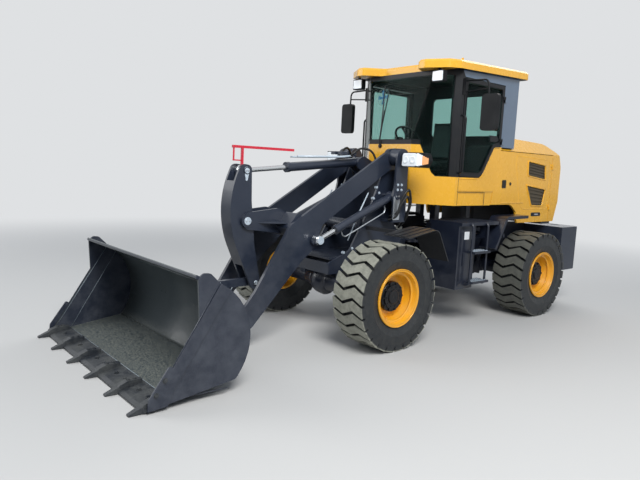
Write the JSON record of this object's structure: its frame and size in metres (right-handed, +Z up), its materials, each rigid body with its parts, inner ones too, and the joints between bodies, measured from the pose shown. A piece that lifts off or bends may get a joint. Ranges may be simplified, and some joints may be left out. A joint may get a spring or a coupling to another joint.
{
  "type": "wheel loader",
  "caption": "Articulated wheel loader with a toothed bucket on a Z-bar boom, a glazed cab, hinged engine doors and lugged tyres.",
  "frame": {"origin": "on the ground, below the middle of the machine's box", "axes": "-Y towards the front (the bucket), +X towards the machine's left side, +Z up"},
  "size_m": [2.426, 6.66, 3.0314],
  "materials": {
    "yellow_paint": "satin",
    "rim_paint": "satin",
    "navy_paint": "satin",
    "red_paint": "gloss",
    "tyre_rubber": "matte",
    "glass": "gloss",
    "black_plastic": "matte",
    "engine_iron": "matte",
    "worn_steel": "worn",
    "chrome_rod": "polished"
  },
  "bodies": {
    "rear_frame": {"rear_chassis": "navy_paint", "rear_axle": "navy_paint", "counterweight": "navy_paint", "side_box_left": "navy_paint", "side_box_right": "navy_paint", "rear_fenders": "navy_paint", "engine_block": "engine_iron", "cab_frame": "navy_paint", "cab_shell": "yellow_paint", "cab_roof": "yellow_paint", "cab_glass": "glass", "corner_glass": "glass", "seat": "black_plastic", "steering_column": "black_plastic", "mirrors": "black_plastic", "work_lamps": "black_plastic", "air_cleaner": "black_plastic", "hood": "yellow_paint"},
    "front_frame": {"front_chassis": "navy_paint", "front_axle": "navy_paint", "front_fenders": "navy_paint", "headlamps": "black_plastic"},
    "boom": {"boom": "navy_paint"},
    "bellcrank": {"bellcrank": "navy_paint"},
    "link": {"link": "navy_paint"},
    "bucket": {"bucket": "navy_paint", "cutting_edge": "worn_steel"},
    "tilt_barrel": {"tilt_barrel": "navy_paint"},
    "tilt_rod": {"tilt_rod": "chrome_rod", "level_indicator": "red_paint"},
    "wheel_front_left": {"tyre_front_left": "tyre_rubber", "rim_front_left": "rim_paint"},
    "wheel_front_right": {"tyre_front_right": "tyre_rubber", "rim_front_right": "rim_paint"},
    "wheel_rear_left": {"tyre_rear_left": "tyre_rubber", "rim_rear_left": "rim_paint"},
    "wheel_rear_right": {"tyre_rear_right": "tyre_rubber", "rim_rear_right": "rim_paint"},
    "door_left": {"door_left": "navy_paint", "door_glass_left": "glass"},
    "engine_door_left": {"engine_door_left": "yellow_paint"},
    "lift_left_barrel": {"lift_left_barrel": "navy_paint"},
    "steer_left_barrel": {"steer_left_barrel": "navy_paint"},
    "lift_left_rod": {"lift_left_rod": "chrome_rod"},
    "steer_left_rod": {"steer_left_rod": "chrome_rod"},
    "door_right": {"door_right": "navy_paint", "door_glass_right": "glass"},
    "engine_door_right": {"engine_door_right": "yellow_paint"},
    "lift_right_barrel": {"lift_right_barrel": "navy_paint"},
    "steer_right_barrel": {"steer_right_barrel": "navy_paint"},
    "lift_right_rod": {"lift_right_rod": "chrome_rod"},
    "steer_right_rod": {"steer_right_rod": "chrome_rod"}
  },
  "joints": [
    {"name": "articulation", "type": "hinge", "parent": "rear_frame", "child": "front_frame", "pos_m": [0, 0.71, 0.715], "axis": [0, 0, 1], "range_deg": [-35, 35]},
    {"name": "wheel_front_left_spin", "type": "hinge", "parent": "front_frame", "child": "wheel_front_left", "pos_m": [0.92, -0.64, 0.52721], "axis": [1, 0, 0], "continuous": true},
    {"name": "wheel_front_right_spin", "type": "hinge", "parent": "front_frame", "child": "wheel_front_right", "pos_m": [-0.92, -0.64, 0.52721], "axis": [1, 0, 0], "continuous": true},
    {"name": "wheel_rear_left_spin", "type": "hinge", "parent": "rear_frame", "child": "wheel_rear_left", "pos_m": [0.92, 2.06, 0.52721], "axis": [1, 0, 0], "continuous": true},
    {"name": "wheel_rear_right_spin", "type": "hinge", "parent": "rear_frame", "child": "wheel_rear_right", "pos_m": [-0.92, 2.06, 0.52721], "axis": [1, 0, 0], "continuous": true},
    {"name": "boom_raise", "type": "hinge", "parent": "front_frame", "child": "boom", "pos_m": [0, 0, 1.9], "axis": [-1, 0, 0], "range_deg": [0, 72]},
    {"name": "bucket_tilt", "type": "hinge", "parent": "boom", "child": "bucket", "pos_m": [0, -2.06, 0.235], "axis": [1, 0, 0], "range_deg": [-42, 65]},
    {"name": "bellcrank_swing", "type": "hinge", "parent": "boom", "child": "bellcrank", "pos_m": [0, -1.769, 1.211], "axis": [1, 0, 0], "range_deg": [-26, 17]},
    {"name": "link_swing", "type": "hinge", "parent": "bellcrank", "child": "link", "pos_m": [0, -1.631, 0.595], "axis": [1, 0, 0], "range_deg": [-20, 31]},
    {"name": "tilt_barrel_swing", "type": "hinge", "parent": "front_frame", "child": "tilt_barrel", "pos_m": [0, -0.23, 1.832], "axis": [-1, 0, 0], "range_deg": [0, 79]},
    {"name": "tilt_rod_slide", "type": "slide", "parent": "tilt_barrel", "child": "tilt_rod", "axis": [0, -0.9957, -0.0931], "range_m": [-0.205, 0.135]},
    {"name": "lift_left_barrel_swing", "type": "hinge", "parent": "front_frame", "child": "lift_left_barrel", "pos_m": [0.4, -0.06, 1.475], "axis": [-1, 0, 0], "range_deg": [0, 73]},
    {"name": "lift_left_rod_slide", "type": "slide", "parent": "lift_left_barrel", "child": "lift_left_rod", "axis": [0, -0.9204, -0.391], "range_m": [0, 0.52]},
    {"name": "steer_left_barrel_swing", "type": "hinge", "parent": "rear_frame", "child": "steer_left_barrel", "pos_m": [0.235, 1.19, 0.7], "axis": [0, 0, 1], "range_deg": [-15, 15]},
    {"name": "steer_left_rod_slide", "type": "slide", "parent": "steer_left_barrel", "child": "steer_left_rod", "axis": [0.046, -0.9989, 0], "range_m": [-0.17, 0.17]},
    {"name": "door_left_swing", "type": "hinge", "parent": "rear_frame", "child": "door_left", "pos_m": [0.758, 1.444, 2.2], "axis": [0, 0, 1], "range_deg": [0, 90]},
    {"name": "engine_door_left_swing", "type": "hinge", "parent": "rear_frame", "child": "engine_door_left", "pos_m": [0.746, 2.75, 1.6], "axis": [0, 0, 1], "range_deg": [0, 80]},
    {"name": "lift_right_barrel_swing", "type": "hinge", "parent": "front_frame", "child": "lift_right_barrel", "pos_m": [-0.4, -0.06, 1.475], "axis": [-1, 0, 0], "range_deg": [0, 73]},
    {"name": "lift_right_rod_slide", "type": "slide", "parent": "lift_right_barrel", "child": "lift_right_rod", "axis": [0, -0.9204, -0.391], "range_m": [0, 0.52]},
    {"name": "steer_right_barrel_swing", "type": "hinge", "parent": "rear_frame", "child": "steer_right_barrel", "pos_m": [-0.235, 1.19, 0.7], "axis": [0, 0, 1], "range_deg": [-15, 15]},
    {"name": "steer_right_rod_slide", "type": "slide", "parent": "steer_right_barrel", "child": "steer_right_rod", "axis": [-0.046, -0.9989, 0], "range_m": [-0.17, 0.17]},
    {"name": "door_right_swing", "type": "hinge", "parent": "rear_frame", "child": "door_right", "pos_m": [-0.758, 1.444, 2.2], "axis": [0, 0, -1], "range_deg": [0, 90]},
    {"name": "engine_door_right_swing", "type": "hinge", "parent": "rear_frame", "child": "engine_door_right", "pos_m": [-0.746, 2.75, 1.6], "axis": [0, 0, -1], "range_deg": [0, 80]}
  ],
  "couplings": [
    {"joint": "bellcrank_swing", "follows": "bucket_tilt", "ratio": -0.38},
    {"joint": "link_swing", "follows": "bucket_tilt", "ratio": 0.45},
    {"joint": "tilt_barrel_swing", "follows": "boom_raise", "ratio": 1.07},
    {"joint": "tilt_rod_slide", "follows": "bucket_tilt", "m_per_rad": -0.176},
    {"joint": "lift_left_barrel_swing", "follows": "boom_raise", "ratio": 1},
    {"joint": "lift_left_rod_slide", "follows": "boom_raise", "m_per_rad": 0.405},
    {"joint": "steer_left_barrel_swing", "follows": "articulation", "ratio": 0.37},
    {"joint": "steer_left_rod_slide", "follows": "articulation", "m_per_rad": -0.25},
    {"joint": "lift_right_barrel_swing", "follows": "boom_raise", "ratio": 1},
    {"joint": "lift_right_rod_slide", "follows": "boom_raise", "m_per_rad": 0.405},
    {"joint": "steer_right_barrel_swing", "follows": "articulation", "ratio": 0.37},
    {"joint": "steer_right_rod_slide", "follows": "articulation", "m_per_rad": 0.25}
  ]
}
